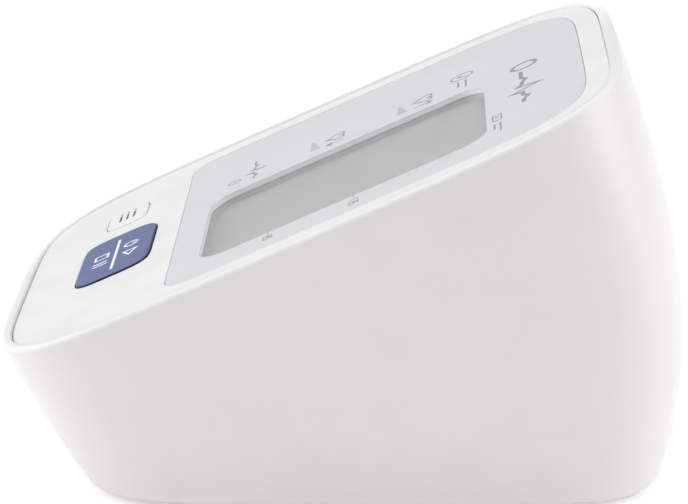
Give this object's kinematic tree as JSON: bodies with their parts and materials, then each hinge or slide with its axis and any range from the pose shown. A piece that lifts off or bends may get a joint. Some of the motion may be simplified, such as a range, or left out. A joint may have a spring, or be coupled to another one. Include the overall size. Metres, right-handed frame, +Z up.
{
  "type": "upper arm blood pressure monitor",
  "caption": "Wedge-shaped tabletop blood pressure monitor with a sloping face, recessed LCD window, start/stop and memory keys, air jack, power inlet and a battery cover underneath.",
  "frame": {"origin": "on the table under the middle of the case, level with the soles of the rubber feet", "axes": "+X to the user's right, +Y to the back, +Z up; the face slopes up towards +Y"},
  "size_m": [0.1052, 0.1289, 0.0795],
  "materials": {
    "case_white": "fine moulded satin, white ABS",
    "plate_white": "fine moulded satin, white ABS",
    "panel_lavender": "smooth printed sheet, pale lavender grey",
    "window_clear": "clear acrylic",
    "holder_grey": "moulded grey",
    "lcd_grey": "satin polariser film over a grey blank display",
    "lcd_glass": "thin float glass",
    "reflector_silver": "diffuse reflector film",
    "contact_rubber": "layered conductive silicone",
    "key_blue": "satin navy blue",
    "key_white": "fine moulded satin, white ABS",
    "switch_black": "moulded black",
    "stem_ivory": "moulded ivory",
    "board_green": "green solder mask over glass fibre",
    "screw_steel": "zinc plated",
    "chip_black": "moulded epoxy",
    "lead_tin": "tinned",
    "capacitor_can": "bare can",
    "sensor_ivory": "moulded ivory",
    "valve_black": "moulded black",
    "coil_copper": "enamelled copper winding",
    "plunger_steel": "turned",
    "manifold_white": "moulded natural",
    "tube_silicone": "translucent silicone",
    "jack_grey": "moulded grey",
    "motor_steel": "drawn can",
    "terminal_brass": "tinned brass",
    "shaft_steel": "ground",
    "crank_nylon": "moulded nylon",
    "pump_black": "moulded black",
    "diaphragm_rubber": "moulded rubber",
    "cushion_rubber": "soft foam rubber",
    "inlet_black": "moulded black",
    "pin_nickel": "nickel plated",
    "cell_wrap": "plain printed sleeve with bare ends",
    "spring_nickel": "nickel plated wire",
    "contact_nickel": "nickel plated strip",
    "foot_rubber": "grey rubber",
    "lead_insulation": "coloured insulation"
  },
  "bodies": {
    "case": {"body_shell": "case_white", "face_plate": "plate_white", "display_panel": "panel_lavender", "display_window": "window_clear", "lcd_holder": "holder_grey", "lcd_polariser": "lcd_grey", "lcd_front_glass": "lcd_glass", "lcd_rear_glass": "lcd_glass", "lcd_reflector": "reflector_silver", "contact_strip": "contact_rubber", "switch_bodies": "switch_black", "main_board": "board_green", "board_screws": "screw_steel", "microcontroller": "chip_black", "chip_leads": "lead_tin", "chip_resistors": "chip_black", "capacitors": "capacitor_can", "pressure_sensor": "sensor_ivory", "valve_body": "valve_black", "valve_coil": "coil_copper", "air_manifold": "manifold_white", "air_tubes": "tube_silicone", "air_jack": "jack_grey", "pump_motor": "motor_steel", "motor_terminals": "terminal_brass", "pump_housing": "pump_black", "pump_driver": "crank_nylon", "pump_diaphragm": "diaphragm_rubber", "pump_head": "pump_black", "pump_cushions": "cushion_rubber", "power_inlet": "inlet_black", "power_inlet_pin": "pin_nickel", "aa_cells": "cell_wrap", "battery_springs": "spring_nickel", "battery_link_plates": "contact_nickel", "positive_terminal": "contact_nickel", "negative_terminal": "contact_nickel", "rubber_feet": "foot_rubber", "case_screws": "screw_steel", "pump_leads": "lead_insulation", "inlet_leads": "lead_insulation", "battery_leads": "lead_insulation"},
    "start_stop_key": {"start_stop_button": "key_blue", "start_stop_switch_stem": "stem_ivory"},
    "memory_key": {"memory_button": "key_white", "memory_switch_stem": "stem_ivory"},
    "battery_lid": {"battery_cover": "case_white"},
    "pump_rotor": {"motor_shaft": "shaft_steel", "pump_crank": "crank_nylon"},
    "valve_core": {"valve_plunger": "plunger_steel"}
  },
  "joints": [
    {"name": "start_stop_press", "type": "slide", "parent": "case", "child": "start_stop_key", "axis": [0, 0.4091, -0.9125], "range_m": [0, 0.0006], "stiffness_N_per_m": 2500, "springref_m": -0.0002},
    {"name": "memory_press", "type": "slide", "parent": "case", "child": "memory_key", "axis": [0, 0.4091, -0.9125], "range_m": [0, 0.0006], "stiffness_N_per_m": 2500, "springref_m": -0.0002},
    {"name": "battery_lid_hinge", "type": "hinge", "parent": "case", "child": "battery_lid", "pos_m": [0, 0.02585, 0.0006], "axis": [1, 0, 0], "range_deg": [0, 80]},
    {"name": "pump_spin", "type": "hinge", "parent": "case", "child": "pump_rotor", "pos_m": [0, 0.044, 0.0164], "axis": [1, 0, 0], "continuous": true},
    {"name": "valve_stroke", "type": "slide", "parent": "case", "child": "valve_core", "axis": [0, 0.4091, -0.9125], "range_m": [0, 0.0008], "stiffness_N_per_m": 200, "springref_m": -0.0002}
  ]
}
